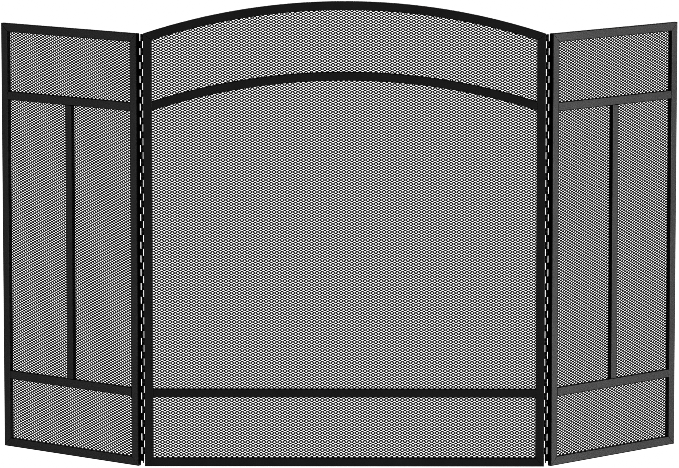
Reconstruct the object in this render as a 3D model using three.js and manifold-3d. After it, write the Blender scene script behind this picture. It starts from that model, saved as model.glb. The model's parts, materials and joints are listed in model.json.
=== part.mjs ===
// Three-panel folding fireplace screen: an arched centre panel with a flat-topped panel hinged to each side.
//
// Every panel is a frame of flat rectangular steel tube with a mesh sheet behind it. A piano hinge on the rear
// of the uprights joins each side panel to the centre one, so the side panels swing back to the hearth wall.
//
// Frame: millimetres, +X to the right, +Y towards the fire, +Z up. The origin is on the floor, under the
// middle of the centre panel's bottom bar.

import * as THREE from "three";
import Module from "manifold-3d";
import { mergeVertices } from "three/addons/utils/BufferGeometryUtils.js";

// Overall sizes
const STILE_HEIGHT = 709.4; // top of the side panels and of the arch's ends
const ARCH_RISE = 52.6; // top of the arch above its ends
const CENTRE_WIDTH = 652;
const SIDE_WIDTH = 302.4;
const LEFT_FOLD = 40; // degrees that a side panel stands back from the centre panel's plane
const RIGHT_FOLD = 45;

// Tube that every bar is cut from
const BAR_FACE = 14; // seen from the front
const BAR_DEPTH = 8; // front to back
const BAR_WALL = 1;

// Clear heights between the outer bars and the inner rails
const LOWER_BAND = 100;
const SIDE_UPPER_BAND = 99;
const ARCH_BAND = 100.5;

// Gaps that the welds bridge
const MITRE_SETBACK = 0.2; // each piece stops this far short of its place on the mitre
const BUTT_GAP = 0.3; // end of a rail to the bar that it meets
const REAR_GAP = 0.3; // rear of a bar to the sheet or leaf on it

// Mesh sheets, drawn closed at the thickness that holds their real weight
const MESH_THICKNESS = 0.3;
const MESH_TO_LEAF = 1; // edge of the sheet to the edge of a hinge leaf

// Piano hinges
const LEAF_WIDTH = 8;
const LEAF_THICKNESS = 0.7;
const PIN_TO_CENTRE = 3.1; // pin axis to the centre panel's stile, across that panel
const PIN_TO_SIDE = 3.6; // pin axis to the side panel's stile, across that panel
const PIN_BEHIND_LEAF = 0.2; // leaf's rear face to pin axis
const PIN_RADIUS = 0.6;
const PIN_CLEARANCE = 0.1; // pin to the flats of the bore
const BARREL_WALL = 0.6;
const KNUCKLE_LENGTH = 11.3; // the nearest to this that divides the hinge evenly is used
const KNUCKLE_GAP = 0.3; // between a knuckle and the next
const HINGE_TOP_INSET = 1.4; // top of the stile to the top of the hinge
const HINGE_BOTTOM = 7.4; // height of the lowest knuckle's foot
const PIN_TAIL = 3.5; // pin showing below the lowest knuckle
const PIN_HEAD = 0.5; // pin showing above the top knuckle

// Facets of an arch's edge, and sides of the round pieces
const ARC_FACETS = 20;
const BARREL_SIDES = 6;
const PIN_SIDES = 12;

// Worked out from the sizes above
const HALF_CENTRE = CENTRE_WIDTH / 2;
const HALF_SIDE = SIDE_WIDTH / 2;
const ARCH_RADIUS = (HALF_CENTRE ** 2 + ARCH_RISE ** 2) / (2 * ARCH_RISE);
const ARCH_CENTRE_Z = STILE_HEIGHT + ARCH_RISE - ARCH_RADIUS;
const REAR_FACE = BAR_DEPTH + REAR_GAP; // front face to the front of what lies on the rear
const PIN_DEPTH = REAR_FACE + LEAF_THICKNESS + PIN_BEHIND_LEAF; // front face to pin axis
const BORE_RADIUS = (PIN_RADIUS + PIN_CLEARANCE) / Math.cos(Math.PI / BARREL_SIDES);
const BARREL_RADIUS = BORE_RADIUS + BARREL_WALL;
const MESH_LAP = BAR_FACE - LEAF_WIDTH - MESH_TO_LEAF; // sheet's edge on the rear of the outer bars
const HINGE_TOP = STILE_HEIGHT - HINGE_TOP_INSET;
const KNUCKLES = 2 * Math.round((HINGE_TOP - HINGE_BOTTOM) / (2 * KNUCKLE_LENGTH)); // on both leaves
const KNUCKLE_PITCH = (HINGE_TOP - HINGE_BOTTOM) / KNUCKLES;

const BAR_FINISH = new THREE.MeshStandardMaterial({ color: 0x1c1c1c, roughness: 0.55, metalness: 0.2 });
const MESH_FINISH = new THREE.MeshStandardMaterial({ color: 0x141414, roughness: 0.6, metalness: 0.2 });
const HINGE_FINISH = new THREE.MeshStandardMaterial({ color: 0x202020, roughness: 0.5, metalness: 0.3 });

const wasm = await Module();
wasm.setup();

// A closed three.js geometry as a solid that can be joined and cut
function solid(geometry) {
  const bare = geometry.clone();
  bare.deleteAttribute("normal");
  bare.deleteAttribute("uv");
  const merged = mergeVertices(bare, 1e-4);
  return new wasm.Manifold(
    new wasm.Mesh({
      numProp: 3,
      vertProperties: new Float32Array(merged.attributes.position.array),
      triVerts: new Uint32Array(merged.index.array),
    }),
  );
}

// A solid back as a three.js geometry
function geometryOf(manifold) {
  const mesh = manifold.getMesh();
  const geometry = new THREE.BufferGeometry();
  geometry.setAttribute("position", new THREE.BufferAttribute(mesh.vertProperties, 3));
  geometry.setIndex(new THREE.BufferAttribute(mesh.triVerts, 1));
  geometry.computeVertexNormals();
  return geometry;
}

function named(name, geometry, material) {
  const mesh = new THREE.Mesh(geometry, material);
  mesh.name = name;
  return mesh;
}

function polygon(points) {
  return new THREE.Shape(points.map(([x, z]) => new THREE.Vector2(x, z)));
}

// A shape drawn in the panel's plane, across and up, given a depth from front to back
function slab(shape, front, back) {
  const geometry = new THREE.ExtrudeGeometry(shape, {
    depth: back - front,
    bevelEnabled: false,
    curveSegments: ARC_FACETS,
  });
  geometry.translate(0, 0, -back);
  geometry.rotateX(Math.PI / 2);
  return geometry;
}

function box(x0, x1, y0, y1, z0, z1) {
  const geometry = new THREE.BoxGeometry(Math.abs(x1 - x0), y1 - y0, z1 - z0);
  geometry.translate((x0 + x1) / 2, (y0 + y1) / 2, (z0 + z1) / 2);
  return geometry;
}

// An upright cylinder on the Z axis
function rod(radius, z0, z1, sides) {
  const geometry = new THREE.CylinderGeometry(radius, radius, z1 - z0, sides);
  geometry.rotateX(Math.PI / 2);
  geometry.translate(0, 0, (z0 + z1) / 2);
  return geometry;
}

// A length of tube: its outline in the panel's plane, with the bore run out past both ends
function tube(outline, bore) {
  const outside = solid(slab(outline, 0, BAR_DEPTH));
  const inside = solid(slab(bore, BAR_WALL, BAR_DEPTH - BAR_WALL));
  return geometryOf(outside.subtract(inside));
}

// An upright bar from one edge to the other, its ends given as heights at the outer and the inner edge
function upright(outerX, innerX, bottom, top) {
  const across = Math.sign(innerX - outerX);
  const outline = polygon([
    [outerX, bottom.outer],
    [innerX, bottom.inner],
    [innerX, top.inner],
    [outerX, top.outer],
  ]);
  const bore = polygon([
    [outerX + across * BAR_WALL, bottom.outer - BAR_FACE],
    [innerX - across * BAR_WALL, bottom.outer - BAR_FACE],
    [innerX - across * BAR_WALL, top.outer + BAR_FACE],
    [outerX + across * BAR_WALL, top.outer + BAR_FACE],
  ]);
  return tube(outline, bore);
}

// A level bar centred on the panel, its half lengths given along its bottom and its top edge
function crossbar(bottomZ, bottomHalf, topHalf) {
  const outline = polygon([
    [-bottomHalf, bottomZ],
    [bottomHalf, bottomZ],
    [topHalf, bottomZ + BAR_FACE],
    [-topHalf, bottomZ + BAR_FACE],
  ]);
  const past = Math.max(bottomHalf, topHalf) + BAR_FACE;
  const bore = polygon([
    [-past, bottomZ + BAR_WALL],
    [past, bottomZ + BAR_WALL],
    [past, bottomZ + BAR_FACE - BAR_WALL],
    [-past, bottomZ + BAR_FACE - BAR_WALL],
  ]);
  return tube(outline, bore);
}

// The band between two arcs on one centre, each reaching its own distance either side of the middle
function arcBand(centreZ, outer, inner) {
  const outerEnd = Math.acos(outer.reach / outer.radius);
  const innerEnd = Math.acos(inner.reach / inner.radius);
  const shape = new THREE.Shape();
  shape.absarc(0, centreZ, outer.radius, outerEnd, Math.PI - outerEnd, false);
  shape.absarc(0, centreZ, inner.radius, Math.PI - innerEnd, innerEnd, true);
  return shape;
}

// A bent bar below the given arc centre, its half lengths given along its outer and its inner edge
function archedBar(centreZ, outerReach, innerReach) {
  const outline = arcBand(
    centreZ,
    { radius: ARCH_RADIUS, reach: outerReach },
    { radius: ARCH_RADIUS - BAR_FACE, reach: innerReach },
  );
  const past = outerReach + BAR_FACE;
  const bore = arcBand(
    centreZ,
    { radius: ARCH_RADIUS - BAR_WALL, reach: past },
    { radius: ARCH_RADIUS - BAR_FACE + BAR_WALL, reach: past },
  );
  return tube(outline, bore);
}

// Height of an arc about the arch's centre, at a distance from the panel's middle
function arcHeight(radius, x) {
  return ARCH_CENTRE_Z + Math.sqrt(radius ** 2 - x ** 2);
}

// The foot of a stile: heights of its mitre at the outer and the inner edge
const FOOT_MITRE = { outer: MITRE_SETBACK, inner: BAR_FACE + MITRE_SETBACK };

// The arched centre panel's frame and mesh
function centrePanel() {
  const inside = HALF_CENTRE - BAR_FACE;
  const archMitre = {
    outer: STILE_HEIGHT - MITRE_SETBACK,
    inner: arcHeight(ARCH_RADIUS - BAR_FACE, inside) - MITRE_SETBACK,
  };
  const railHalf = inside - BUTT_GAP;
  const railDrop = BAR_FACE + ARCH_BAND;
  const panel = new THREE.Group();
  panel.add(
    named("centre_left_stile", upright(-HALF_CENTRE, -inside, FOOT_MITRE, archMitre), BAR_FINISH),
    named("centre_right_stile", upright(HALF_CENTRE, inside, FOOT_MITRE, archMitre), BAR_FINISH),
    named(
      "centre_arch_bar",
      archedBar(ARCH_CENTRE_Z, HALF_CENTRE - MITRE_SETBACK, inside - MITRE_SETBACK),
      BAR_FINISH,
    ),
    named("centre_arch_rail", archedBar(ARCH_CENTRE_Z - railDrop, railHalf, railHalf), BAR_FINISH),
    named("centre_lower_rail", crossbar(BAR_FACE + LOWER_BAND, railHalf, railHalf), BAR_FINISH),
    named(
      "centre_bottom_bar",
      crossbar(0, HALF_CENTRE - MITRE_SETBACK, inside - MITRE_SETBACK),
      BAR_FINISH,
    ),
    named("centre_mesh", centreSheet(inside + MESH_LAP), MESH_FINISH),
  );
  return panel;
}

// The centre panel's sheet: straight sides and foot, and a top that follows the arch
function centreSheet(reach) {
  const radius = ARCH_RADIUS - BAR_FACE + MESH_LAP;
  const end = Math.acos(reach / radius);
  const shape = new THREE.Shape();
  shape.moveTo(-reach, BAR_FACE - MESH_LAP);
  shape.lineTo(reach, BAR_FACE - MESH_LAP);
  shape.absarc(0, ARCH_CENTRE_Z, radius, end, Math.PI - end, false);
  return slab(shape, REAR_FACE, REAR_FACE + MESH_THICKNESS);
}

// A flat-topped side panel about its own middle; side is -1 for the left panel and 1 for the right
function sidePanel(prefix, side) {
  const inside = HALF_SIDE - BAR_FACE;
  const topMitre = {
    outer: STILE_HEIGHT - MITRE_SETBACK,
    inner: STILE_HEIGHT - BAR_FACE - MITRE_SETBACK,
  };
  const mitreLong = HALF_SIDE - MITRE_SETBACK;
  const mitreShort = inside - MITRE_SETBACK;
  const railHalf = inside - BUTT_GAP;
  const lowerRail = BAR_FACE + LOWER_BAND;
  const upperRail = STILE_HEIGHT - 2 * BAR_FACE - SIDE_UPPER_BAND;
  const mullionFoot = lowerRail + BAR_FACE + BUTT_GAP;
  const mullionTop = upperRail - BUTT_GAP;
  const reach = inside + MESH_LAP;
  const sheet = polygon([
    [-reach, BAR_FACE - MESH_LAP],
    [reach, BAR_FACE - MESH_LAP],
    [reach, STILE_HEIGHT - BAR_FACE + MESH_LAP],
    [-reach, STILE_HEIGHT - BAR_FACE + MESH_LAP],
  ]);
  const panel = new THREE.Group();
  panel.add(
    named(
      `${prefix}_inner_stile`,
      upright(-side * HALF_SIDE, -side * inside, FOOT_MITRE, topMitre),
      BAR_FINISH,
    ),
    named(
      `${prefix}_outer_stile`,
      upright(side * HALF_SIDE, side * inside, FOOT_MITRE, topMitre),
      BAR_FINISH,
    ),
    named(`${prefix}_top_bar`, crossbar(STILE_HEIGHT - BAR_FACE, mitreShort, mitreLong), BAR_FINISH),
    named(`${prefix}_upper_rail`, crossbar(upperRail, railHalf, railHalf), BAR_FINISH),
    named(
      `${prefix}_mullion`,
      upright(
        side * (BAR_FACE / 2),
        -side * (BAR_FACE / 2),
        { outer: mullionFoot, inner: mullionFoot },
        { outer: mullionTop, inner: mullionTop },
      ),
      BAR_FINISH,
    ),
    named(`${prefix}_lower_rail`, crossbar(lowerRail, railHalf, railHalf), BAR_FINISH),
    named(`${prefix}_bottom_bar`, crossbar(0, mitreLong, mitreShort), BAR_FINISH),
    named(`${prefix}_mesh`, slab(sheet, REAR_FACE, REAR_FACE + MESH_THICKNESS), MESH_FINISH),
  );
  return panel;
}

// A hinge leaf about the pin axis: its plate lies on the side given by toward, from its stile's edge inwards,
// and every second knuckle from the given one is its own. The stile's edge is the given way from the pin.
function hingeLeaf(toward, firstKnuckle, toStile) {
  const plateFront = -PIN_BEHIND_LEAF - LEAF_THICKNESS;
  const plateEdge = toward * toStile;
  const plateInner = toward * (toStile + LEAF_WIDTH);
  let leaf = solid(box(plateEdge, plateInner, plateFront, -PIN_BEHIND_LEAF, HINGE_BOTTOM, HINGE_TOP));
  for (let k = firstKnuckle; k < KNUCKLES; k += 2) {
    const top = HINGE_TOP - k * KNUCKLE_PITCH - KNUCKLE_GAP / 2;
    const bottom = top - KNUCKLE_PITCH + KNUCKLE_GAP;
    const strap = solid(box(0, toward * (toStile + 1), plateFront, -PIN_BEHIND_LEAF, bottom, top));
    const barrel = solid(rod(BARREL_RADIUS, bottom, top, BARREL_SIDES));
    leaf = leaf.add(strap).add(barrel);
  }
  const bore = solid(rod(BORE_RADIUS, HINGE_BOTTOM - PIN_TAIL, HINGE_TOP + PIN_TAIL, BARREL_SIDES));
  return geometryOf(leaf.subtract(bore));
}

// A side panel on its piano hinge, folded back by the given angle; the pin stays with the centre panel
function hingedPanel(prefix, side, foldDegrees) {
  const hinge = new THREE.Group();
  hinge.position.set(side * (HALF_CENTRE + PIN_TO_CENTRE), PIN_DEPTH, 0);
  hinge.add(
    named(`${prefix}_hinge_centre_leaf`, hingeLeaf(-side, 0, PIN_TO_CENTRE), HINGE_FINISH),
    named(
      `${prefix}_hinge_pin`,
      rod(PIN_RADIUS, HINGE_BOTTOM - PIN_TAIL, HINGE_TOP + PIN_HEAD, PIN_SIDES),
      HINGE_FINISH,
    ),
  );

  const panel = sidePanel(prefix, side);
  panel.position.set(side * (PIN_TO_SIDE + HALF_SIDE), -PIN_DEPTH, 0);

  const swing = new THREE.Group();
  swing.rotation.z = side * THREE.MathUtils.degToRad(foldDegrees);
  swing.add(
    named(`${prefix}_hinge_side_leaf`, hingeLeaf(side, 1, PIN_TO_SIDE), HINGE_FINISH),
    panel,
  );
  hinge.add(swing);
  return hinge;
}

const screen = new THREE.Group();
screen.position.y = -BAR_DEPTH / 2;
screen.add(centrePanel(), hingedPanel("left", -1, LEFT_FOLD), hingedPanel("right", 1, RIGHT_FOLD));

export default screen;
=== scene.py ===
"""The looks of a three-panel folding fireplace screen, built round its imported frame.

Each panel is a mitred frame of rounded steel tube with a sheet of expanded mesh welded behind it, and a
rolled piano hinge joins each side panel to the arched centre one. All of it is black powder coat.

Lengths are in metres. A panel's own axes are across (left to right), back (front face to rear) and up.
"""

import json
import logging
import math
from dataclasses import dataclass, field
from enum import Enum
from typing import Callable

import bpy
import numpy as np
from numpy.typing import NDArray
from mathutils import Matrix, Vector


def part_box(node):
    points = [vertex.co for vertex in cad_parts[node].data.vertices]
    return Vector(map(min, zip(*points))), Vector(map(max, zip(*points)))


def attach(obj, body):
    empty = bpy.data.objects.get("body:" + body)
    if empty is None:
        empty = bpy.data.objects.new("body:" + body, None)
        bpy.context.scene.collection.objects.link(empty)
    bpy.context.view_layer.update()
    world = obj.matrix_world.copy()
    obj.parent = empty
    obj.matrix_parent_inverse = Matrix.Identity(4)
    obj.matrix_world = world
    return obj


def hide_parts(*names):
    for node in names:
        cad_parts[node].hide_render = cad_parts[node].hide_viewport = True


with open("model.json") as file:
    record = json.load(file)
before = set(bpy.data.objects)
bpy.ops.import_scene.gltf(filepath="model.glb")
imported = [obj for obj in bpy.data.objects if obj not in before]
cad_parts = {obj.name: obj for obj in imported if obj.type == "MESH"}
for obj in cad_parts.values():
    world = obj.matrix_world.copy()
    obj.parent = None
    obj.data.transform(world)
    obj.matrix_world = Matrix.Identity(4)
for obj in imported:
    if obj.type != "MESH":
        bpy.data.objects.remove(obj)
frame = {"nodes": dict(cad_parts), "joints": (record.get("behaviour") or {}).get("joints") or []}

LOG = logging.getLogger("fireplace_screen")
MM = 0.001
Array = NDArray[np.float64]
Index = NDArray[np.int64]
Held = NDArray[np.bool_]
NodeTree = bpy.types.NodeTree
Output = bpy.types.NodeSocket


# ----------------------------------------------------------------------------------------------------
# Meshes from arrays


@dataclass
class Shell:
    """A closed surface as arrays: points, faces by number of corners, and a value for each point of the
    painted edge highlight and wear.
    """

    points: Array
    quads: Index = field(default_factory=lambda: np.zeros((0, 4), np.int64))
    triangles: Index = field(default_factory=lambda: np.zeros((0, 3), np.int64))
    edge_sheen_and_wear: Array | None = None

    def corners(self) -> Index:
        """All faces as triangles, the quads split along their first diagonal."""
        q = self.quads
        return np.concatenate([self.triangles, q[:, [0, 1, 2]], q[:, [0, 2, 3]]])

    def volume(self) -> float:
        """The signed volume: a sixth of the sum of each triangle's triple product."""
        a, b, c = (self.points[self.corners()[:, k]] for k in range(3))
        return float(np.einsum("ij,ij->i", a, np.cross(b, c)).sum() / 6)

    def facing_out(self) -> "Shell":
        """Turns the faces round if they point inwards.

        Returns:
            The same shell with a volume that isn't negative.
        """
        if self.volume() >= 0:
            return self
        return Shell(self.points, self.quads[:, ::-1], self.triangles[:, ::-1], self.edge_sheen_and_wear)


def joined(shells: list[Shell]) -> Shell:
    """Several shells as one.

    Args:
        shells: the shells, which keep their own points.

    Returns:
        One shell whose face numbers are shifted past the points of the shells before.
    """
    start = np.cumsum([0] + [len(s.points) for s in shells])
    return Shell(
        np.concatenate([s.points for s in shells]),
        np.concatenate([s.quads + k for s, k in zip(shells, start)]),
        np.concatenate([s.triangles + k for s, k in zip(shells, start)]),
        np.concatenate([np.zeros(len(s.points)) if s.edge_sheen_and_wear is None else s.edge_sheen_and_wear for s in shells]),
    )


def swept(rings: Array, edge_sheen_and_wear: Array | None = None) -> Shell:
    """A closed tube through rings of points, with a fan of triangles over each end.

    Args:
        rings: points by station and by place round the ring.
        edge_sheen_and_wear: a value for each place round the ring, for its share of the painted edge
            highlight and wear.

    Returns:
        The tube: point (i, j) joins (i + 1, j) and (i, j + 1), with j running round and back to its start.
    """
    stations, around, _ = rings.shape
    number = np.arange(stations * around).reshape(stations, around)
    after = np.roll(number, -1, axis=1)
    quads = np.stack([number[:-1], after[:-1], after[1:], number[1:]], -1).reshape(-1, 4)
    hubs = stations * around + np.arange(2)
    first = np.stack([after[0], number[0], np.full(around, hubs[0])], -1)
    last = np.stack([number[-1], after[-1], np.full(around, hubs[1])], -1)
    points = np.concatenate([rings.reshape(-1, 3), rings[[0, -1]].mean(1)])
    sheen_and_wear_values = None if edge_sheen_and_wear is None else np.concatenate([np.tile(edge_sheen_and_wear, stations), [0.0, 0.0]])
    return Shell(points, quads, np.concatenate([first, last]), sheen_and_wear_values)


def walled(front: Array, rear: Array, kept: Held) -> Shell:
    """A plate between two grids of points, where only some cells of the grid are metal.

    Args:
        front: the front surface's points, by row and column.
        rear: the rear surface's points, on the same grid.
        kept: which cells between four neighbouring points are metal.

    Returns:
        Both surfaces over the kept cells, with a wall on each side of a kept cell that has no kept neighbour.
    """
    rows, columns = kept.shape
    number = np.arange((rows + 1) * (columns + 1)).reshape(rows + 1, columns + 1)
    far = number.size
    cell = np.stack([number[:-1, :-1], number[:-1, 1:], number[1:, 1:], number[1:, :-1]], -1)
    faces = [cell[kept], cell[kept][:, ::-1] + far]
    padded = np.pad(kept, 1)
    around = [
        (padded[:-2, 1:-1], 0, 1),
        (padded[1:-1, 2:], 1, 2),
        (padded[2:, 1:-1], 2, 3),
        (padded[1:-1, :-2], 3, 0),
    ]
    for beside, a, b in around:
        edge = cell[kept & ~beside]
        faces.append(np.stack([edge[:, b], edge[:, a], edge[:, a] + far, edge[:, b] + far], -1))
    quads = np.concatenate(faces)
    used, compact = np.unique(quads, return_inverse=True)
    points = np.concatenate([front.reshape(-1, 3), rear.reshape(-1, 3)])[used]
    return Shell(points, compact.reshape(quads.shape))


def blender_mesh(name: str, shell: Shell, smooth: bool) -> bpy.types.Mesh:
    """Puts a shell's arrays into a Blender mesh.

    Args:
        name: the mesh's name.
        shell: the closed surface, in the row frame.
        smooth: whether its faces are shaded smooth.

    Returns:
        The mesh, with the values of the painted edge highlight and wear as the point attribute
        "edge_sheen_and_wear".
    """
    shell = shell.facing_out()
    corner = np.concatenate([shell.quads.ravel(), shell.triangles.ravel()]).astype(np.int32)
    counts = np.repeat([4, 3], [len(shell.quads), len(shell.triangles)])
    mesh = bpy.data.meshes.new(name)
    mesh.vertices.add(len(shell.points))
    mesh.vertices.foreach_set("co", shell.points.astype(np.float32).ravel())
    mesh.loops.add(len(corner))
    mesh.loops.foreach_set("vertex_index", corner)
    mesh.polygons.add(len(counts))
    mesh.polygons.foreach_set("loop_start", np.concatenate([[0], np.cumsum(counts)[:-1]]).astype(np.int32))
    mesh.polygons.foreach_set("use_smooth", np.full(len(counts), smooth))
    mesh.update(calc_edges=True)
    if shell.edge_sheen_and_wear is not None:
        attribute = mesh.attributes.new("edge_sheen_and_wear", "FLOAT", "POINT")
        attribute.data.foreach_set("value", shell.edge_sheen_and_wear.astype(np.float32))
    return mesh


# ----------------------------------------------------------------------------------------------------
# Finishes


class Slot(Enum):
    """The record's material slots."""

    FRAME = "frame_black"
    MESH = "mesh_black"
    HINGE = "hinge_black"


@dataclass(frozen=True)
class PowderCoat:
    """Black powder coat: a fine orange peel over a faint mottle, painted lighter along the metal's edges,
    both as a highlight and as rubbed wear.
    """

    slot: Slot
    colour: float = 0.011
    # The lighter grey of the edges: a painted highlight along the rounded edges, and rubbed wear.
    sheen_and_wear_grey: float = 0.05
    roughness: float = 0.42
    roughness_swing: float = 0.10
    specular: float = 0.5
    peel_mm: float = 1.4
    peel_strength: float = 0.18
    peel_height: float = 0.05 * MM
    grain_mm: float = 0.35
    grain_strength: float = 0.10
    grain_height: float = 0.02 * MM
    mottle_mm: float = 30.0

    def material(self) -> bpy.types.Material:
        """Builds the node material: noises on object coordinates drive colour, roughness and bump.

        Returns:
            The material. The edge_sheen_and_wear attribute picks out edges, broken up by a noise, for a
            lighter grey: a painted highlight on the rounded edges and rubbed wear.
        """
        material = bpy.data.materials.new(self.slot.value)
        material.use_nodes = True
        tree = material.node_tree
        shader = tree.nodes["Principled BSDF"]
        shader.inputs["Metallic"].default_value = 0.0
        shader.inputs["Specular IOR Level"].default_value = self.specular
        place = tree.nodes.new("ShaderNodeTexCoord").outputs["Object"]

        mottle = self._noise(tree, place, self.mottle_mm, 3.0)
        peel = self._noise(tree, place, self.peel_mm, 2.0)
        grain = self._noise(tree, place, self.grain_mm, 2.0)
        patches = self._noise(tree, place, self.mottle_mm / 6, 4.0)

        tint = self._ramp(tree, mottle, 0.35, 0.65, self.colour * 0.8, self.colour * 1.25)
        # Edges painted lighter in patches: a painted highlight on the rounded edges, and rubbed wear.
        sheen_and_wear_values = tree.nodes.new("ShaderNodeAttribute")
        sheen_and_wear_values.attribute_name = "edge_sheen_and_wear"
        sheen_and_wear_amount = self._math(tree, "MULTIPLY", sheen_and_wear_values.outputs["Fac"], self._step(tree, patches, 0.45, 0.75))
        colour = tree.nodes.new("ShaderNodeMix")
        colour.data_type = "RGBA"
        tree.links.new(sheen_and_wear_amount, colour.inputs["Factor"])
        tree.links.new(tint, colour.inputs["A"])
        colour.inputs["B"].default_value = (self.sheen_and_wear_grey, self.sheen_and_wear_grey * 0.98, self.sheen_and_wear_grey * 0.95, 1.0)
        tree.links.new(colour.outputs["Result"], shader.inputs["Base Color"])

        low = self.roughness - self.roughness_swing / 2
        tree.links.new(
            self._map(tree, peel, 0.3, 0.7, low, low + self.roughness_swing), shader.inputs["Roughness"]
        )

        coarse = self._bump(tree, peel, self.peel_strength, self.peel_height, None)
        fine = self._bump(tree, grain, self.grain_strength, self.grain_height, coarse)
        tree.links.new(fine, shader.inputs["Normal"])
        return material

    @staticmethod
    def _noise(tree: NodeTree, place: Output, size_mm: float, detail: float) -> Output:
        """Adds a noise whose features are about size_mm across.

        Args:
            tree: the material's nodes.
            place: the coordinates that it reads.
            size_mm: the size of its features.
            detail: the number of finer layers on top.

        Returns:
            The noise, from 0 to 1.
        """
        node = tree.nodes.new("ShaderNodeTexNoise")
        node.inputs["Scale"].default_value = 1.0 / (size_mm * MM)
        node.inputs["Detail"].default_value = detail
        tree.links.new(place, node.inputs["Vector"])
        return node.outputs["Fac"]

    @staticmethod
    def _map(
        tree: NodeTree, value: Output, low: float, high: float, to_low: float, to_high: float
    ) -> Output:
        """Carries a value in a straight line from one range to another.

        Args:
            tree: the material's nodes.
            value: the value.
            low: the value that becomes to_low.
            high: the value that becomes to_high.
            to_low: the result at low and below it.
            to_high: the result at high and above it.

        Returns:
            The carried value.
        """
        node = tree.nodes.new("ShaderNodeMapRange")
        for name, number in (("From Min", low), ("From Max", high), ("To Min", to_low), ("To Max", to_high)):
            node.inputs[name].default_value = number
        tree.links.new(value, node.inputs["Value"])
        return node.outputs["Result"]

    def _step(self, tree: NodeTree, value: Output, low: float, high: float) -> Output:
        """0 below low, 1 above high."""
        return self._map(tree, value, low, high, 0.0, 1.0)

    def _ramp(
        self, tree: NodeTree, value: Output, low: float, high: float, dark: float, light: float
    ) -> Output:
        """Adds a grey that follows a value.

        Args:
            tree: the material's nodes.
            value: the value.
            low: the value that is dark.
            high: the value that is light.
            dark: the grey at low.
            light: the grey at high.

        Returns:
            The colour.
        """
        node = tree.nodes.new("ShaderNodeCombineColor")
        grey = self._map(tree, value, low, high, dark, light)
        for name in ("Red", "Green", "Blue"):
            tree.links.new(grey, node.inputs[name])
        return node.outputs["Color"]

    @staticmethod
    def _math(tree: NodeTree, operation: str, a: Output, b: Output) -> Output:
        """Adds one operation on two values.

        Args:
            tree: the material's nodes.
            operation: the operation's name.
            a: the first value.
            b: the second value.

        Returns:
            The result.
        """
        node = tree.nodes.new("ShaderNodeMath")
        node.operation = operation
        tree.links.new(a, node.inputs[0])
        tree.links.new(b, node.inputs[1])
        return node.outputs["Value"]

    @staticmethod
    def _bump(
        tree: NodeTree, height: Output, strength: float, distance: float, under: Output | None
    ) -> Output:
        """Adds a bump over the bump before it.

        Args:
            tree: the material's nodes.
            height: the height, from 0 to 1.
            strength: the bump's strength.
            distance: the depth that a height of 1 stands for.
            under: the bump before it, if there is one.

        Returns:
            The bumped normal.
        """
        node = tree.nodes.new("ShaderNodeBump")
        node.inputs["Strength"].default_value = strength
        node.inputs["Distance"].default_value = distance
        tree.links.new(height, node.inputs["Height"])
        if under is not None:
            tree.links.new(under, node.inputs["Normal"])
        return node.outputs["Normal"]


@dataclass
class Dresser:
    """Makes Blender pieces in the three finishes, ties each to its body and hides the CAD nodes that it
    stands for.
    """

    finishes: dict[Slot, bpy.types.Material]

    def piece(
        self,
        name: str,
        shell: Shell,
        body: str,
        slot: Slot,
        replaces: tuple[str, ...] = (),
        smooth: bool = True,
    ) -> bpy.types.Object:
        """Makes one finished piece.

        Args:
            name: the piece's name.
            shell: its closed surface, in the row frame.
            body: the CAD body that it moves with.
            slot: the material slot that its finish comes from.
            replaces: the CAD nodes that it stands for.
            smooth: whether its faces are shaded smooth.

        Returns:
            The object, at the origin.
        """
        piece = bpy.data.objects.new(name, blender_mesh(name, shell, smooth))
        bpy.context.scene.collection.objects.link(piece)
        piece.data.materials.append(self.finishes[slot])
        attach(piece, body)
        if replaces:
            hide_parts(*replaces)
        LOG.info("%s: %d triangles, on %s", name, len(shell.corners()), body)
        return piece


# ----------------------------------------------------------------------------------------------------
# The frames of the three panels


def node_points(node: str) -> Array:
    """Reads a CAD node's points.

    Args:
        node: the node's name.

    Returns:
        Its points at rest, in the row frame.
    """
    mesh = frame["nodes"][node].data
    points = np.zeros(len(mesh.vertices) * 3, np.float32)
    mesh.vertices.foreach_get("co", points)
    return points.reshape(-1, 3).astype(float)


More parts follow.
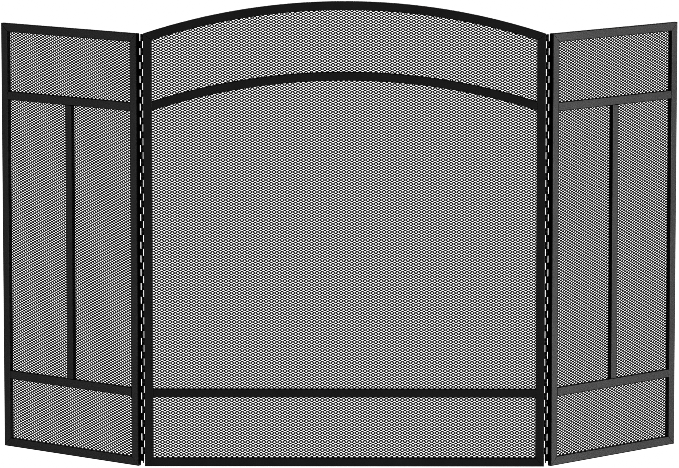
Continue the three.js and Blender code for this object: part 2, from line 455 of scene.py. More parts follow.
@dataclass
class PanelFrame:
    """A panel's own axes, worked out from its CAD sheet and its bottom bar.

    The sheet's points are centred, and their main level direction is the panel's across axis.
    """

    prefix: str
    across: Array = field(init=False)
    back: Array = field(init=False)
    origin: Array = field(init=False)
    half: float = field(init=False)
    face: float = field(init=False)
    depth: float = field(init=False)

    def __post_init__(self) -> None:
        """Finds the axes, and the panel's half width and tube size from its bottom bar."""
        level = node_points(f"{self.prefix}_mesh")[:, :2]
        direction = np.linalg.svd(level - level.mean(0), full_matrices=False)[2][0]
        direction *= np.sign(direction[0])
        self.across = np.array([direction[0], direction[1], 0.0])
        self.back = np.array([-direction[1], direction[0], 0.0])
        self.origin = np.zeros(3)
        bar = self.local_box(f"{self.prefix}_bottom_bar")
        stiles = [self.local_box(n) for n in self.stile_nodes()]
        left, right = min(s[0][0] for s in stiles), max(s[1][0] for s in stiles)
        self.origin = self.across * (left + right) / 2 + self.back * bar[0][1]
        self.half = (right - left) / 2
        self.face = bar[1][2] - bar[0][2]
        self.depth = bar[1][1] - bar[0][1]

    def stile_nodes(self) -> list[str]:
        """The panel's two stiles."""
        return [n for n in frame["nodes"] if n.startswith(self.prefix) and n.endswith("stile")]

    def local(self, points: Array) -> Array:
        """Row-frame points as across, back and up in this panel."""
        moved = points - self.origin
        return np.stack([moved @ self.across, moved @ self.back, moved[..., 2]], -1)

    def placed(self, points: Array) -> Array:
        """Points given across, back and up in this panel, in the row frame."""
        level = points[..., :1] * self.across + points[..., 1:2] * self.back
        return self.origin + level + points[..., 2:3] * np.array([0.0, 0.0, 1.0])

    def local_box(self, node: str) -> tuple[Array, Array]:
        """Lowest and highest corner of a CAD node in this panel's axes."""
        points = self.local(node_points(node))
        return points.min(0), points.max(0)


# ----------------------------------------------------------------------------------------------------
# Rounded tube


@dataclass(frozen=True)
class TubeSection:
    """The section of a rounded rectangular tube, about the middle of its face and back from its front."""

    face: float
    depth: float
    radius: float = 1.1 * MM
    steps: int = 4
    shoulder: float = 0.5 * MM

    def ring(self, inset: float = 0.0) -> Array:
        """The section's outline.

        Args:
            inset: how far the outline is drawn in.

        Returns:
            Points as across the face and back. Each corner is a quarter circle about a centre one radius in
            from both sides, with one more point a shoulder away on either flat, which keeps the flats'
            shading flat.
        """
        radius = self.radius - inset
        turn = np.linspace(0, math.pi / 2, self.steps + 1)
        arc = np.stack([np.cos(turn), np.sin(turn)], -1) * radius
        before = np.array([[radius, -self.shoulder]])
        after = np.array([[-self.shoulder, radius]])
        corner = np.concatenate([before, arc, after])
        centre = np.array([self.face / 2 - self.radius, self.depth / 2 - self.radius])
        quarter = [np.array([[c, s], [-s, c]]) for c, s in ((1, 0), (0, 1), (-1, 0), (0, -1))]
        signs = np.array([[1, 1], [-1, 1], [-1, -1], [1, -1]])
        rings = [corner @ turned + centre * sign for turned, sign in zip(quarter, signs)]
        return np.concatenate(rings) + np.array([0.0, self.depth / 2])

    def edge_sheen_and_wear(self) -> Array:
        """How much each point of the ring takes of the painted edge highlight and wear.

        Returns:
            1 at the middle of each rounded corner, falling to 0 on the flats, in step with ring.
        """
        turn = np.linspace(-1, 1, self.steps + 1)
        corner = np.concatenate([[0.0], 1 - turn**2, [0.0]])
        return np.tile(corner, 4)


@dataclass(frozen=True)
class Cut:
    """How a bar ends: where its middle line stops, how that moves across the face, and its chamfer."""

    at: float
    lean: float = 0.0
    chamfer: float = 0.15 * MM


class Run(Enum):
    """Which way a straight bar runs in its panel."""

    UP = "up"
    ACROSS = "across"


@dataclass
class Bar:
    """A straight length of tube in a panel, cut square or to a mitre at each end."""

    section: TubeSection
    run: Run
    middle: float
    start: Cut
    end: Cut

    def shell(self) -> Shell:
        """Carries the section from cut to cut.

        Returns:
            The bar in panel axes. A ring's point lies at the cut plus the cut's lean times its place across
            the face; the ring at each end is drawn in by the chamfer, the next one stands a chamfer further
            on, and one more close behind it keeps the chamfer out of the shading of the long faces.
        """
        rings = []
        for cut, inward in ((self.start, 1), (self.end, -1)):
            full, drawn = self.section.ring(), self.section.ring(cut.chamfer)
            run = cut.at + cut.lean * full[:, 0]
            lip = self._ring(drawn, cut.at + cut.lean * drawn[:, 0])
            past = (cut.chamfer, cut.chamfer + self.section.shoulder)
            steps = [self._ring(full, run + inward * distance) for distance in past]
            rings += [lip, *steps] if inward > 0 else [*steps[::-1], lip]
        return swept(np.stack(rings), self.section.edge_sheen_and_wear())

    def _ring(self, outline: Array, along: Array) -> Array:
        """Lays an outline across the bar.

        Args:
            outline: the outline, across the face and back.
            along: each point's place along the bar.

        Returns:
            The ring in panel axes.
        """
        beside = self.middle + outline[:, 0]
        if self.run is Run.UP:
            return np.stack([beside, outline[:, 1], along], -1)
        return np.stack([along, outline[:, 1], beside], -1)


@dataclass
class ArchedBar:
    """A tube bent to an arc in its panel's plane, its top edge on the arc."""

    section: TubeSection
    radius: float
    centre: float
    reach: Callable[[Array], Array]
    stations: int = 97
    chamfer: float = 0.15 * MM
    last_share: float = 0.9985

    def shell(self) -> Shell:
        """Carries the section round the arc.

        Returns:
            The bar in panel axes: a point r from the arc's centre at angle a from upright lies at (r sin a)
            across and (r cos a) above the centre. The bar ends where r sin a equals reach at r.
        """
        full, drawn = self.section.ring(), self.section.ring(self.chamfer)
        share = np.linspace(-1, 1, self.stations)
        share = np.sort(np.append(share, [-self.last_share, self.last_share]))
        rings = [self._ring(full, s, self.chamfer) for s in share]
        ends = [self._ring(drawn, s, 0.0) for s in (-1.0, 1.0)]
        return swept(np.stack([ends[0], *rings, ends[1]]), self.section.edge_sheen_and_wear())

    def _ring(self, outline: Array, share: float, short: float) -> Array:
        """Lays the outline across the arc.

        Args:
            outline: the outline, across the face and back.
            share: how much of the way from the middle to the end it lies at.
            short: how far short of the reach the end is.

        Returns:
            The ring in panel axes.
        """
        r = self.radius - self.section.face / 2 + outline[:, 0]
        angle = np.arcsin((self.reach(self.radius - r) - short) / r) * share
        return np.stack([r * np.sin(angle), outline[:, 1], self.centre + r * np.cos(angle)], -1)


# ----------------------------------------------------------------------------------------------------
# Expanded mesh


@dataclass(frozen=True)
class ExpandedMesh:
    """Expanded steel mesh: diamonds wider than high, in rows that step half a diamond sideways.

    A tile is one diamond of the lattice, from bond to bond, with a six-cornered opening in it. The strands
    are rolled nearly flat, and keep a trace of the lean that the slitting press gave them.
    """

    long_way: float = 8.718 * MM
    short_way: float = 4.361 * MM
    strand: float = 1.04 * MM
    bond: float = 0.55 * MM
    thickness: float = 0.40 * MM
    lean: float = -0.08 * MM

    def opening(self) -> Array:
        """The opening's corners about the tile's middle.

        Returns:
            Across, back and up of the corners from the upper right round by the top. The opening is the
            diamond drawn in by half a strand, which scales it by 1 - (strand / 2) / (inradius), with its two
            side tips cut off at the distance bond from their points. Corners above the middle stand forward
            by lean and those below it stand back by lean, or the other way round where lean is negative.
        """
        a, b = self.long_way / 2, self.short_way / 2
        scale = 1 - self.strand / 2 * math.hypot(a, b) / (a * b)
        side = a * scale - self.bond
        tip = b * self.bond / a
        across = np.array([side, 0.0, -side, -side, 0.0, side])
        up = np.array([tip, b * scale, tip, -tip, -b * scale, -tip])
        return np.stack([across, -self.lean * np.sign(up), up], -1)


@dataclass
class MeshSheet:
    """A panel's sheet of expanded mesh: which tiles of the lattice it holds, and its pieces."""

    mesh: ExpandedMesh
    phase: tuple[float, float]
    middle_back: float
    low: Array
    high: Array
    top: Callable[[Array], Array]
    limit: float

    def tiles(self) -> tuple[Index, Held]:
        """The lattice's columns and rows and the tiles that the sheet holds.

        Returns:
            The lattice number of the first column and row, and a grid that is true where a tile is held: one
            with even column plus row, its middle inside the sheet.
        """
        a, b = self.mesh.long_way / 2, self.mesh.short_way / 2
        first = np.floor((self.low - self.phase) / (a, b)).astype(int) - 1
        last = np.ceil((self.high - self.phase) / (a, b)).astype(int) + 1
        i, j = np.meshgrid(*(np.arange(f, e + 1) for f, e in zip(first, last)), indexing="ij")
        across, up = self.phase[0] + i * a, self.phase[1] + j * b
        inside = (across > self.low[0]) & (across < self.high[0]) & (up > self.low[1])
        return first, ((i + j) % 2 == 0) & inside & (up < self.top(across))

    def squeezed(self, across: Array) -> Array:
        """Draws in what stands past the last column of tile middles, so that the sheet ends at its limit.

        Args:
            across: places across the panel.

        Returns:
            The same places, those past the last column on either side scaled down towards it.
        """
        a = self.mesh.long_way / 2
        left = self.phase[0] + np.ceil((self.low[0] - self.phase[0]) / a) * a
        right = self.phase[0] + np.floor((self.high[0] - self.phase[0]) / a) * a
        over = np.where(across > right, right + (across - right) * (self.limit - right) / a, across)
        return np.where(across < left, left + (across - left) * (self.limit + left) / a, over)

    def shells(self, pieces: int) -> list[Shell]:
        """Cuts the sheet into bands of rows and makes each a closed shell.

        Args:
            pieces: the number of bands.

        Returns:
            The bands from the foot up, in panel axes.
        """
        first, held = self.tiles()
        ends = np.linspace(0, held.sum(), pieces + 1)
        rows = np.searchsorted(np.cumsum(held.sum(0)), ends[1:-1])
        bounds = [0, *rows, held.shape[1]]
        row = np.arange(held.shape[1])
        spans = zip(bounds, bounds[1:])
        return [self._band(first, held & (row >= low) & (row < high)) for low, high in spans]

    def _band(self, first: Index, held: Held) -> Shell:
        """Makes a closed shell of the held tiles.

        Args:
            first: the lattice number of the grid's first column and row.
            held: which tiles of the grid are in the band.

        Returns:
            The shell in panel axes. The bonds are shared points of the lattice and each tile adds its
            opening's six corners, all of it once for the front and once for the rear. A strand is a quad from
            two bonds to two corners of the opening.
        """
        a, b = self.mesh.long_way / 2, self.mesh.short_way / 2
        i, j = np.nonzero(held)
        steps = np.array([[1, 0], [0, 1], [-1, 0], [0, -1]])
        bonds = np.stack([i, j], -1)[:, None, :] + steps
        key = bonds[..., 0] * (held.shape[1] + 2) + bonds[..., 1]
        unique, bond = np.unique(key, return_inverse=True)
        bond = bond.reshape(key.shape)
        where = np.stack([unique // (held.shape[1] + 2), unique % (held.shape[1] + 2)], -1)
        bond_points = self._flat((where + first) * (a, b))
        middles = self._flat((np.stack([i, j], -1) + first) * (a, b))
        hole_points = (middles[:, None, :] + self.mesh.opening()).reshape(-1, 3)
        half = np.array([0.0, self.mesh.thickness / 2, 0.0])
        points = np.concatenate([bond_points, hole_points])
        points[:, 0] = self.squeezed(points[:, 0])
        hole = len(unique) + np.arange(len(i) * 6).reshape(-1, 6)
        far = len(points)

        east, north, west, south = bond.T
        strands = [
            (east, north, hole[:, 1], hole[:, 0]),
            (north, west, hole[:, 2], hole[:, 1]),
            (west, south, hole[:, 4], hole[:, 3]),
            (south, east, hole[:, 5], hole[:, 4]),
        ]
        ends = [(east, hole[:, 0], hole[:, 5]), (west, hole[:, 3], hole[:, 2])]
        front = np.concatenate([np.stack(s, -1) for s in strands])
        tips = np.concatenate([np.stack(e, -1) for e in ends])
        after = np.roll(hole, -1, 1)
        inner = np.stack([hole, after, after + far, hole + far], -1).reshape(-1, 4)
        edges = []
        sides = (
            ((1, 1), east, north),
            ((-1, 1), north, west),
            ((-1, -1), west, south),
            ((1, -1), south, east),
        )
        for (di, dj), p, q in sides:
            open_side = ~np.roll(held, (-di, -dj), (0, 1))[i, j]
            near, next_to = p[open_side], q[open_side]
            edges.append(np.stack([next_to, near, near + far, next_to + far], -1))
        quads = np.concatenate([front, front[:, ::-1] + far, inner, *edges])
        return Shell(
            np.concatenate([points - half, points + half]), quads, np.concatenate([tips, tips[:, ::-1] + far])
        )

    def _flat(self, place: Array) -> Array:
        """Lattice places as points on the sheet's middle surface, in panel axes."""
        back = np.full(len(place), self.middle_back)
        return np.stack([place[:, 0] + self.phase[0], back, place[:, 1] + self.phase[1]], -1)


# ----------------------------------------------------------------------------------------------------
# Welds


@dataclass(frozen=True)
class Weld:
    """A small fillet bead in the corner between a bar's end and the bar that it meets."""

    leg: float = 1.3 * MM
    least_leg: float = 0.05 * MM
    ripples: float = 5.0
    ripple_swell: float = 0.07
    along: int = 25
    around: int = 7

    def shell(self, corner: Array, out: Array, side: Array, run: Array, length: float) -> Shell:
        """Lays one bead.

        Args:
            corner: the corner line's start.
            out: the way along the bar, away from the bar that it meets.
            side: the way off the bar's face.
            run: the way along the corner.
            length: the bead's length.

        Returns:
            The bead: at a share s of its length, its section is a quarter ellipse drawn in to the corner,
            whose legs swell by a sine of s for the ripples and shrink to almost nothing at both ends.
        """
        s = np.linspace(0, 1, self.along)
        swell = 1 + self.ripple_swell * np.sin(s * self.ripples * 2 * math.pi)
        leg = np.maximum(self.leg * (4 * s * (1 - s)) ** 0.25 * swell, self.least_leg)
        turn = np.linspace(0, math.pi / 2, self.around)
        hollow = np.stack([1 - 0.8 * np.sin(turn), 1 - 0.8 * np.cos(turn)], -1) * 0.9 + 0.1
        section = np.concatenate([[[-0.15, -0.15]], hollow])
        points = leg[:, None, None] * (section[None, :, :1] * out + section[None, :, 1:] * side)
        return swept(corner + points + (s * length)[:, None, None] * run)


# ----------------------------------------------------------------------------------------------------
# Panels


@dataclass
class Panel:
    """What all three panels share: their axes, their tube and how their parts become pieces."""

    prefix: str
    body: str
    dresser: Dresser
    mesh_phase: tuple[float, float]
    mesh_bands: int
    mitre_gap: float = 0.02 * MM
    weld_inset: float = 0.8 * MM
    sheet_back: float = 0.5 * MM
    sheet_lap: float = 2.5 * MM
    sheet_inset: float = 1.2 * MM
    frame: PanelFrame = field(init=False)
    section: TubeSection = field(init=False)
    inside: float = field(init=False)

    def __post_init__(self) -> None:
        """Works out the panel's axes and its tube."""
        self.frame = PanelFrame(self.prefix)
        self.section = TubeSection(self.frame.face, self.frame.depth)
        self.inside = self.frame.half - self.frame.face

    def add(self, part: str, shell: Shell, slot: Slot, node: str = "", smooth: bool = True) -> None:
        """Makes a shell a piece of this panel.

        Args:
            part: the piece's name, without the panel's.
            shell: its closed surface, in panel axes.
            slot: its material slot.
            node: the CAD node that it stands for, without the panel's name, or nothing.
            smooth: whether its faces are shaded smooth.
        """
        placed = Shell(self.frame.placed(shell.points), shell.quads, shell.triangles, shell.edge_sheen_and_wear)
        nodes = (f"{self.prefix}_{node}",) if node else ()
        self.dresser.piece(f"{self.prefix}_{part}", placed, self.body, slot, nodes, smooth)

    def level_bar(self, part: str, start: Cut, end: Cut) -> None:
        """Makes a straight bar across the panel at its CAD node's height.

        Args:
            part: the bar's CAD node, without the panel's name.
            start: its left end.
            end: its right end.
        """
        low, high = self.frame.local_box(f"{self.prefix}_{part}")
        bar = Bar(self.section, Run.ACROSS, (low[2] + high[2]) / 2, start, end)
        self.add(f"{part}_tube", bar.shell(), Slot.FRAME, part)

    def rail(self, part: str) -> None:
        """Makes a rail that butts on both stiles."""
        reach = self.inside - self.mitre_gap
        self.level_bar(part, Cut(-reach), Cut(reach))

    def foot(self) -> None:
        """Makes the bottom bar, mitred to both stiles: its end moves in as fast as its top edge rises."""
        reach = self.frame.half - self.frame.face / 2 - self.mitre_gap
        self.level_bar("bottom_bar", Cut(-reach, 1.0), Cut(reach, -1.0))

    def welds_at(self, heights: list[float], half: float, lean: float = 0.0) -> list[Shell]:
        """Fillet beads in the corners over and under a rail's two ends.

        Args:
            heights: the heights of the rail's lower and upper edge where it meets the stile.
            half: the distance of both meeting places from the panel's middle.
            lean: the rise of the rail's edge for each step away from the stile.

        Returns:
            The beads, in panel axes.
        """
        back = np.array([0.0, 1.0, 0.0])
        length = self.frame.depth - 2 * self.weld_inset
        beads = []
        for side in (-1, 1):
            for height, up in zip(heights, (-1, 1)):
                corner = np.array([side * half, self.weld_inset, height])
                out = np.array([-side, 0.0, lean])
                beads.append(Weld().shell(corner, out, np.array([0.0, 0.0, up]), back, length))
        return beads

    def add_sheet(self, top: Callable[[Array], Array]) -> None:
        """Makes the mesh sheet in bands.

        Args:
            top: the height of the opening's upper edge at a place across.
        """
        low, high = self.frame.local_box(f"{self.prefix}_mesh")
        sheet = MeshSheet(
            ExpandedMesh(),
            self.mesh_phase,
            self.frame.depth + self.sheet_back,
            np.array([low[0] + self.sheet_inset, self.frame.face - self.sheet_lap]),
            np.array([high[0] - self.sheet_inset, high[2]]),
            lambda across: top(across) + self.sheet_lap,
            high[0],
        )
        for k, shell in enumerate(sheet.shells(self.mesh_bands), start=1):
            self.add(f"mesh_band_{k}", shell, Slot.MESH, "mesh", smooth=False)


@dataclass
class CentrePanel(Panel):
    """The arched panel in the middle."""

    shoulder: float = field(init=False)
    radius: float = field(init=False)
    centre: float = field(init=False)

    def build(self) -> None:
        """Works out the arch and makes every piece.

        The arch's radius is (half width squared plus rise squared) over twice the rise.
        """
        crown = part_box("centre_arch_bar")[1].z
        self.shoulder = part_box("left_top_bar")[1].z
        rise = crown - self.shoulder
        self.radius = (self.frame.half**2 + rise**2) / (2 * rise)
        self.centre = crown - self.radius
        self.stiles()
        self.foot()
        self.rail("lower_rail")
        self.arches()
        inner = self.radius - self.frame.face
        self.add_sheet(lambda across: self.centre + np.sqrt(inner**2 - across**2))
        self.welds()

    def stiles(self) -> None:
        """Makes the two stiles, mitred to the bottom bar at the foot and to the arch at the top."""
        inner = self.centre + math.sqrt((self.radius - self.frame.face) ** 2 - self.inside**2)
        slope = (self.shoulder - inner) / self.frame.face
        middle = self.frame.half - self.frame.face / 2
        for side, part in ((-1, "left_stile"), (1, "right_stile")):
            foot = Cut(self.frame.face / 2 + self.mitre_gap, -side)
            top = Cut((self.shoulder + inner) / 2 - self.mitre_gap, side * slope)
            bar = Bar(self.section, Run.UP, side * middle, foot, top)
            self.add(f"{part}_tube", bar.shell(), Slot.FRAME, part)

    def arches(self) -> None:
        """Makes the arch bar, mitred to the stiles, and the rail of the same bend, butted on them."""
        reach = self.frame.half - self.mitre_gap
        crown = ArchedBar(self.section, self.radius, self.centre, lambda down: reach - down)
        self.add("arch_bar_tube", crown.shell(), Slot.FRAME, "arch_bar")
        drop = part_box("centre_arch_bar")[1].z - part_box("centre_arch_rail")[1].z
        inside = self.inside - self.mitre_gap
        rail = ArchedBar(self.section, self.radius, self.centre - drop, lambda down: inside + 0 * down)
        self.add("arch_rail_tube", rail.shell(), Slot.FRAME, "arch_rail")

    def welds(self) -> None:
        """Lays the beads at the ends of the rails."""
        low, high = self.frame.local_box("centre_lower_rail")
        beads = self.welds_at([low[2], high[2]], self.inside)
        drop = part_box("centre_arch_bar")[1].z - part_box("centre_arch_rail")[1].z
        for radius, up in ((self.radius - self.frame.face, 0), (self.radius, 1)):
            height = self.centre - drop + math.sqrt(radius**2 - self.inside**2)
            lean = self.inside / math.sqrt(radius**2 - self.inside**2)
            beads += self.welds_at([height, height], self.inside, lean)[up::2]
        self.add("welds", joined(beads), Slot.FRAME)


@dataclass
class SidePanel(Panel):
    """A flat-topped panel with a mullion between its two rails."""

    def build(self) -> None:
        """Makes every piece."""
        self.stiles()
        self.foot()
        self.top()
        self.rail("lower_rail")
        self.rail("upper_rail")
        self.mullion()
        under = self.frame.local_box(f"{self.prefix}_top_bar")[0][2]
        self.add_sheet(lambda across: under + 0 * across)
        self.welds()

    def stiles(self) -> None:
        """Makes the stiles, mitred square at both ends. The right one of the left panel is its inner one."""
        height = self.frame.local_box(f"{self.prefix}_top_bar")[1][2]
        middle = self.frame.half - self.frame.face / 2
        for part in ("inner_stile", "outer_stile"):
            side = np.sign(self.frame.local_box(f"{self.prefix}_{part}")[0][0])
            foot = Cut(self.frame.face / 2 + self.mitre_gap, -side)
            top = Cut(height - self.frame.face / 2 - self.mitre_gap, side)
            bar = Bar(self.section, Run.UP, side * middle, foot, top)
            self.add(f"{part}_tube", bar.shell(), Slot.FRAME, part)

    def top(self) -> None:
        """Makes the top bar, the bottom bar turned over."""
        reach = self.frame.half - self.frame.face / 2 - self.mitre_gap
        self.level_bar("top_bar", Cut(-reach, -1.0), Cut(reach, 1.0))

    def mullion(self) -> None:
        """Makes the mullion between the rails."""
        foot = self.frame.local_box(f"{self.prefix}_lower_rail")[1][2] + self.mitre_gap
        top = self.frame.local_box(f"{self.prefix}_upper_rail")[0][2] - self.mitre_gap
        bar = Bar(self.section, Run.UP, 0.0, Cut(foot), Cut(top))
        self.add("mullion_tube", bar.shell(), Slot.FRAME, "mullion")

    def welds(self) -> None:
        """Lays the beads at the ends of the rails and of the mullion."""
        beads = []
        faces = []
        for part in ("lower_rail", "upper_rail"):
            low, high = self.frame.local_box(f"{self.prefix}_{part}")
            beads += self.welds_at([low[2], high[2]], self.inside)
            faces.append((low[2], high[2]))
        length = self.frame.depth - 2 * self.weld_inset
        back = np.array([0.0, 1.0, 0.0])
        for height, up in ((faces[0][1], 1.0), (faces[1][0], -1.0)):
            for side in (-1.0, 1.0):
                corner = np.array([side * self.frame.face / 2, self.weld_inset, height])
                out, off = np.array([0, 0, up]), np.array([side, 0, 0])
                beads.append(Weld().shell(corner, out, off, back, length))
        self.add("welds", joined(beads), Slot.FRAME)


# ----------------------------------------------------------------------------------------------------
# Piano hinges


@dataclass
class PianoHinge:
    """A rolled piano hinge: two notched leaves whose knuckles take turns on one pin."""

    prefix: str
    side: int
    dresser: Dresser
    centre: PanelFrame
    panel: PanelFrame
    knuckles: int = 62
    gap: float = 0.3 * MM
    thickness: float = 0.6 * MM
    roll: float = 1.0 * MM
    roll_degrees: float = 295.0
    roll_steps: int = 25
    plate_back: float = -0.88 * MM
    shy: float = 0.1 * MM
    pin_sides: int = 20
    pin_end_flatness: float = 0.6

    def build(self) -> None:
        """Makes both leaves and the pin."""
        joint = next(j for j in frame["joints"] if j["name"] == f"{self.prefix}_fold")
        axis = np.array([*joint["pos_m"][:2], 0.0])
        for part, body, owner, toward, first in (
            ("centre_leaf", "centre_panel", self.centre, -self.side, 0),
            ("side_leaf", f"{self.prefix}_panel", self.panel, self.side, 1),
        ):
            node = f"{self.prefix}_hinge_{part}"
            shell = self.leaf(node, owner, owner.local(axis), toward, first)
            self.dresser.piece(f"{node}_rolled", shell, body, Slot.HINGE, (node,))
        self.pin(axis)

    def path(self, width: float, edge: float) -> tuple[Array, int]:
        """The middle line of the leaf's strip, seen from above, from the plate's far edge to the roll's end.

        Args:
            width: distance from the pin's axis to the plate's far edge.
            edge: distance from the pin's axis to the stile's edge, which the plate stops shy of.

        Returns:
            Points as distance towards the plate and back of the axis, and the number of steps in the plate.
            The strip leaves the plate, eases to the front of the roll by 3s^2 - 2s^3, and turns round the
            axis.
        """
        edge += self.shy
        plate = np.array([[width, self.plate_back], [edge, self.plate_back]])
        s = np.linspace(0, 1, 7)[1:-1]
        ease = 3 * s**2 - 2 * s**3
        bend = np.stack([edge * (1 - s), self.plate_back - ease * (self.roll + self.plate_back)], -1)
        turn = np.radians(np.linspace(0, self.roll_degrees, self.roll_steps))
        roll = np.stack([-np.sin(turn), -np.cos(turn)], -1) * self.roll
        return np.concatenate([plate, bend, roll]), len(plate) - 1

    def leaf(self, node: str, owner: PanelFrame, axis: Array, toward: int, first: int) -> Shell:
        """A leaf whose strip runs on into the roll only at its own knuckles.

        Args:
            node: the leaf's CAD node.
            owner: the panel that it is fixed to.
            axis: the pin's place in that panel's axes.
            toward: the side of the axis that the plate lies on.
            first: the first of its knuckles, from the top.

        Returns:
            The leaf in the row frame.
        """
        low, high = owner.local_box(node)
        spread = [toward * (x - axis[0]) for x in (low[0], high[0])]
        edge = abs(axis[0]) - owner.half
        line, plate_steps = self.path(max(spread), edge)
        tangent = np.gradient(line, axis=0)
        tangent[0], tangent[1] = (-1.0, 0.0), (-1.0, 0.0)
        normal = np.stack([-tangent[:, 1], tangent[:, 0]], -1)
        normal /= np.linalg.norm(normal, axis=1, keepdims=True)
        pitch = (high[2] - low[2]) / self.knuckles
        tops = high[2] - (np.arange(first, self.knuckles, 2) * pitch) - self.gap / 2
        own = np.stack([tops, tops - pitch + self.gap], -1).ravel()
        levels = np.concatenate([[high[2]], own, [low[2]]])
        kept = np.zeros((len(levels) - 1, len(line) - 1), bool)
        kept[:, :plate_steps] = True
        kept[1::2, :] = True
        surfaces = []
        for offset in (-self.thickness / 2, self.thickness / 2):
            strip = line + normal * offset
            points = np.zeros((len(levels), len(line), 3))
            points[..., 0] = axis[0] + toward * strip[None, :, 0]
            points[..., 1] = axis[1] + strip[None, :, 1]
            points[..., 2] = levels[:, None]
            surfaces.append(owner.placed(points))
        return walled(surfaces[0], surfaces[1], kept)

    def pin(self, axis: Array) -> None:
        """Makes the hinge pin, a wire whose two ends are rounded over by flattened quarter circles.

        Args:
            axis: the pin's place in the row frame.
        """
        node = f"{self.prefix}_hinge_pin"
        low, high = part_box(node)
        radius = (high.x - low.x) / 2
        turn = np.linspace(0.15, math.pi / 2, 5)
        end_radius = radius * np.sin(turn)
        end_height = radius * (1 - np.cos(turn)) * self.pin_end_flatness
        radii = np.concatenate([end_radius, end_radius[::-1]])
        heights = np.concatenate([low.z + end_height, high.z - end_height[::-1]])
        around = np.linspace(0, 2 * math.pi, self.pin_sides, endpoint=False)
        rings = np.zeros((len(radii), self.pin_sides, 3))
        rings[..., 0] = axis[0] + radii[:, None] * np.cos(around)
        rings[..., 1] = axis[1] + radii[:, None] * np.sin(around)
        rings[..., 2] = heights[:, None]
        self.dresser.piece(f"{node}_wire", swept(rings), "centre_panel", Slot.HINGE, (node,))


# ----------------------------------------------------------------------------------------------------
# Studio


@dataclass(frozen=True)
class SoftBox:
    """A soft rectangular light that looks at a point."""

    name: str
    stands: tuple[float, float, float]
    aims: tuple[float, float, float]
    size: tuple[float, float]
    watts: float

    def build(self) -> None:
        """Makes the light."""
        light = bpy.data.lights.new(self.name, "AREA")
        light.shape = "RECTANGLE"
        light.size, light.size_y = self.size
        light.energy = self.watts
        lamp = bpy.data.objects.new(self.name, light)
        lamp.location = self.stands
        lamp.visible_camera = False
        way = np.array(self.aims) - np.array(self.stands)
        level = math.hypot(way[0], way[1])
        lamp.rotation_euler = (math.atan2(level, -way[2]), 0.0, math.atan2(-way[0], way[1]))
        bpy.context.scene.collection.objects.link(lamp)


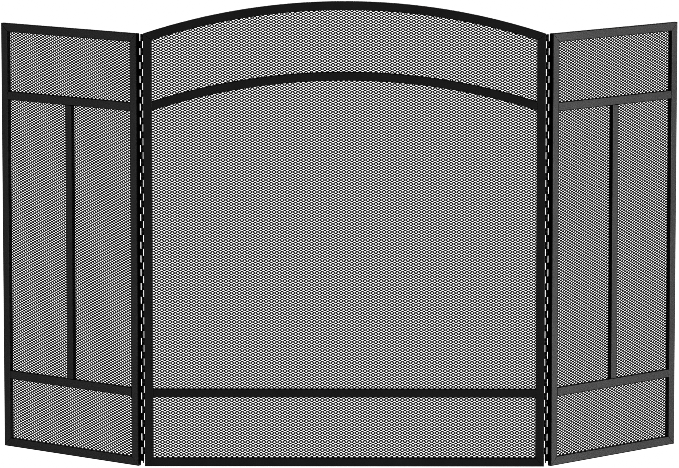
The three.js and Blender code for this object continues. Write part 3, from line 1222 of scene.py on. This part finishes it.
@dataclass(frozen=True)
class Studio:
    """A plain white floor under soft light, and the camera."""

    lens_mm: float = 268.28218
    sensor_mm: float = 36.0
    camera_at: tuple[float, float, float] = (0.02535, -8.15524, 1.45749)
    looks_down: float = 7.508
    turned_left: float = 0.235
    floor_size: float = 60.0
    surround_light: float = 0.2
    contrast: float = 0.47
    filter_width: float = 0.75
    lights: tuple[SoftBox, ...] = (
        SoftBox("front_softbox", (0.0, -6.5, -0.6), (0.0, 0.0, 0.38), (8.0, 6.0), 350.0),
        SoftBox("right_softbox", (6.2, -1.8, 0.2), (0.44, 0.11, 0.38), (5.0, 6.0), 1040.0),
        SoftBox("left_softbox", (-6.1, -2.4, 0.0), (-0.44, 0.11, 0.38), (4.0, 6.0), 430.0),
        SoftBox("rear_softbox", (0.0, 6.8, -0.6), (0.0, 0.0, 0.38), (9.0, 6.0), 420.0),
        SoftBox("top_softbox", (0.0, 1.6, 4.6), (0.0, 0.1, 0.38), (3.5, 3.0), 250.0),
    )

    def build(self) -> None:
        """Makes the floor, the lights, the white surround and the camera."""
        self.floor()
        self.surround()
        for light in self.lights:
            light.build()
        self.camera()
        self.picture()

    def picture(self) -> None:
        """Sets a crisp picture with deep blacks, as a studio's catalogue print has."""
        scene = bpy.context.scene
        scene.view_settings.view_transform = "Standard"
        scene.view_settings.look = "None"
        scene.view_settings.gamma = self.contrast
        scene.cycles.use_denoising = False
        scene.cycles.filter_width = self.filter_width

    def floor(self) -> None:
        """Makes a wide floor that is evenly white, as a lit studio table is, and lets all light through."""
        half = self.floor_size / 2
        corners = [(-half, -half, 0.0), (half, -half, 0.0), (half, half, 0.0), (-half, half, 0.0)]
        mesh = bpy.data.meshes.new("floor")
        mesh.from_pydata(corners, [], [(0, 1, 2, 3)])
        floor = bpy.data.objects.new("floor", mesh)
        bpy.context.scene.collection.objects.link(floor)
        paint = bpy.data.materials.new("floor_white")
        paint.use_nodes = True
        tree = paint.node_tree
        shader = tree.nodes["Principled BSDF"]
        shader.inputs["Base Color"].default_value = (0.0, 0.0, 0.0, 1.0)
        shader.inputs["Specular IOR Level"].default_value = 0.0
        shader.inputs["Emission Color"].default_value = (1.0, 1.0, 1.0, 1.0)
        tree.links.new(self._seen_white(tree), shader.inputs["Emission Strength"])
        mesh.materials.append(paint)
        floor.visible_shadow = False
        floor.visible_glossy = False
        floor.visible_diffuse = False

    def surround(self) -> None:
        """Makes a surround that is white behind the screen and lights it only a little."""
        world = bpy.data.worlds.new("surround")
        bpy.context.scene.world = world
        world.cycles.sampling_method = "NONE"
        world.use_nodes = True
        tree = world.node_tree
        background = tree.nodes["Background"]
        background.inputs["Color"].default_value = (1.0, 1.0, 1.0, 1.0)
        tree.links.new(self._seen_white(tree), background.inputs["Strength"])

    def _seen_white(self, tree: NodeTree) -> Output:
        """Adds a strength that differs between what is looked at and what lights the screen.

        Args:
            tree: the nodes of the floor's material or of the surround.

        Returns:
            1 to the camera and surround_light to everything else.
        """
        node = tree.nodes.new("ShaderNodeMapRange")
        node.inputs["To Min"].default_value = self.surround_light
        node.inputs["To Max"].default_value = 1.0
        path = tree.nodes.new("ShaderNodeLightPath")
        tree.links.new(path.outputs["Is Camera Ray"], node.inputs["Value"])
        return node.outputs["Result"]

    def camera(self) -> None:
        """Makes the camera, a long lens at standing height that looks down a little."""
        data = bpy.data.cameras.new("camera")
        data.sensor_width = self.sensor_mm
        data.lens = self.lens_mm
        data.clip_start, data.clip_end = 0.1, 100.0
        camera = bpy.data.objects.new("camera", data)
        camera.location = self.camera_at
        tilt, turn = math.radians(90 - self.looks_down), math.radians(self.turned_left)
        camera.rotation_euler = (tilt, 0.0, turn)
        bpy.context.scene.collection.objects.link(camera)
        bpy.context.scene.camera = camera


def main() -> None:
    """Builds the screen and the studio."""
    logging.basicConfig(level=logging.INFO, format="%(name)s %(message)s")
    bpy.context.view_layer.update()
    coats = (
        PowderCoat(Slot.FRAME),
        PowderCoat(Slot.MESH, colour=0.004, roughness=0.7, specular=0.08, peel_strength=0.1),
        PowderCoat(Slot.HINGE, roughness=0.38),
    )
    dresser = Dresser({coat.slot: coat.material() for coat in coats})
    centre = CentrePanel("centre", "centre_panel", dresser, (-1.21 * MM, 3.86 * MM), 5)
    left = SidePanel("left", "left_panel", dresser, (1.57 * MM, 1.6 * MM), 2)
    right = SidePanel("right", "right_panel", dresser, (0.43 * MM, 3.83 * MM), 2)
    for panel in (centre, left, right):
        panel.build()
    for panel, side in ((left, -1), (right, 1)):
        PianoHinge(panel.prefix, side, dresser, centre.frame, panel.frame).build()
    Studio().build()


if __name__ == "__main__":
    main()
